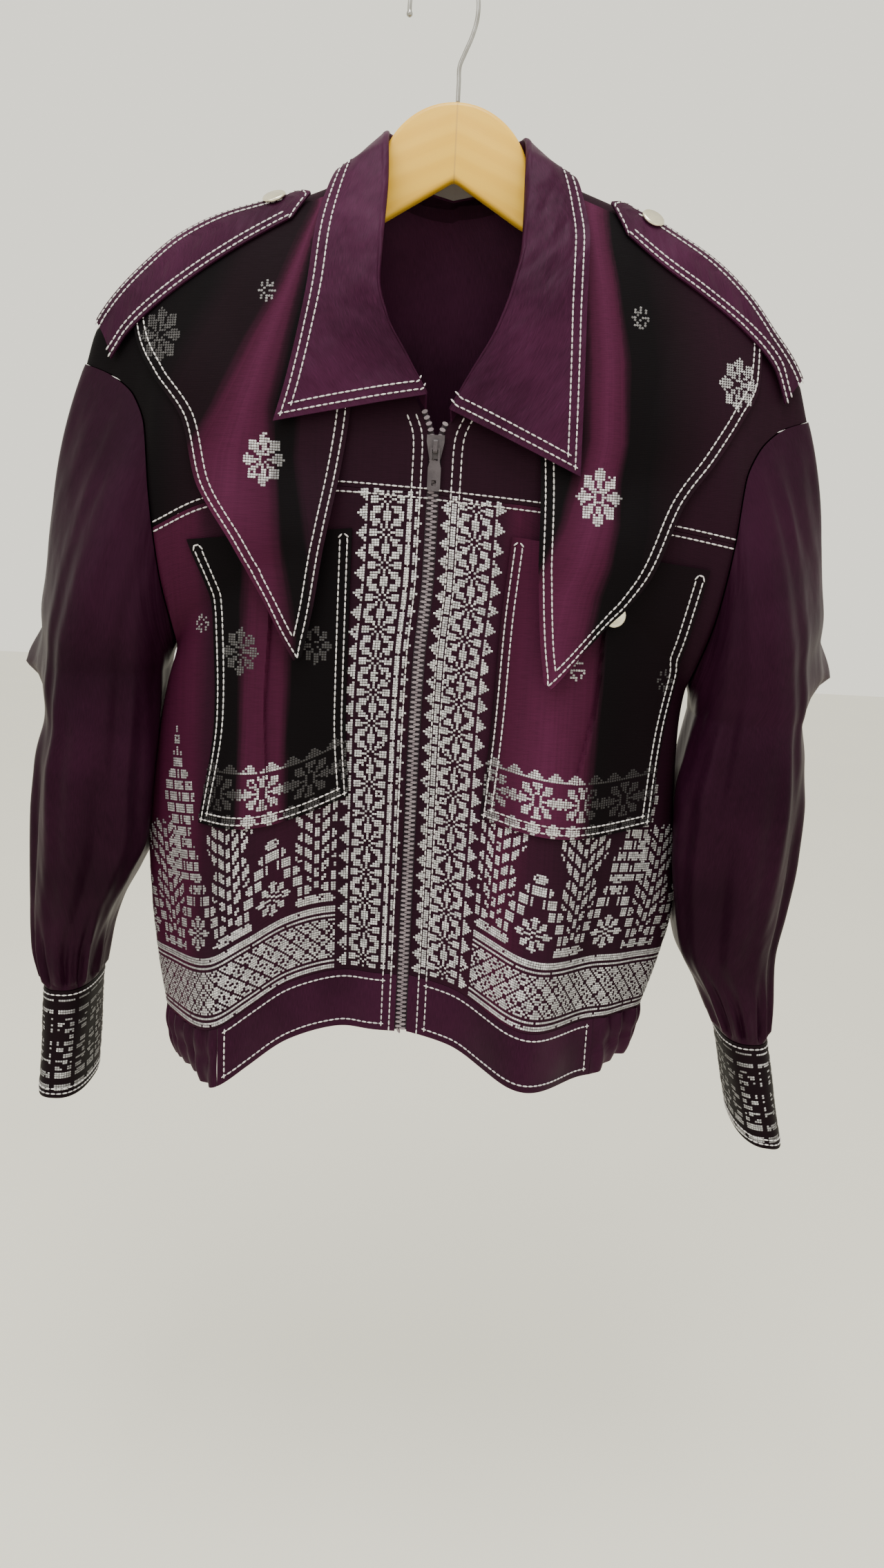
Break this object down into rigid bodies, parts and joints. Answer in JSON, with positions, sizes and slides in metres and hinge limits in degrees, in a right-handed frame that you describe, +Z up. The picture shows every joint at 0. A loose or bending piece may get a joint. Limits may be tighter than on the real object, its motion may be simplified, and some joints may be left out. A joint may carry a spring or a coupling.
{
  "type": "statement collar jacket on a hanger",
  "caption": "Satin and songket blouson with a wide shirt collar, pointed shoulder flaps, epaulettes, patch pockets and a zip, on a wooden hanger.",
  "frame": {"origin": "the hang point: the inside of the hook's top, where a rod or peg bears", "axes": "+Z up along the jacket's height, -Y out of the jacket's front, +X to the right as seen from the front"},
  "size_m": [0.6805, 0.1674, 0.9003],
  "materials": {
    "satin": "plum satin with a soft sheen",
    "songket": "plum and black striped cloth woven with silver thread",
    "silver_thread": "flat silver thread that floats on the songket",
    "stitch_thread": "thick white topstitching",
    "button_metal": "polished pale metal",
    "zip_plastic": "mauve moulded plastic",
    "label_cloth": "woven, bare",
    "hanger_wood": "pale varnished wood",
    "hook_wire": "plain steel wire"
  },
  "bodies": {
    "jacket": {"yoke_left": "satin", "yoke_right": "satin", "back_facing": "satin", "sleeve_left": "satin", "sleeve_right": "satin", "collar": "satin", "epaulette_left": "satin", "epaulette_right": "satin", "waistband_front_left": "satin", "waistband_front_right": "satin", "waistband_elastic": "satin", "front_left": "songket", "front_right": "songket", "back": "songket", "cuff_left": "songket", "cuff_right": "songket", "flap_left": "songket", "flap_right": "songket", "pocket_left": "songket", "pocket_right": "songket", "epaulette_button_left": "button_metal", "epaulette_button_right": "button_metal", "pocket_button_left": "button_metal", "pocket_button_right": "button_metal", "zip_chain": "zip_plastic", "zip_open_left": "zip_plastic", "zip_open_right": "zip_plastic", "slider": "zip_plastic", "neck_label": "label_cloth", "hanger": "hanger_wood", "hanger_hook": "hook_wire"},
    "pull_tab": {"pull_tab": "zip_plastic"}
  },
  "joints": [
    {"name": "pull_tab_hinge", "type": "hinge", "parent": "jacket", "child": "pull_tab", "pos_m": [0.01033, -0.05963, -0.34235], "axis": [-1, 0, 0], "range_deg": [0, 165]}
  ]
}
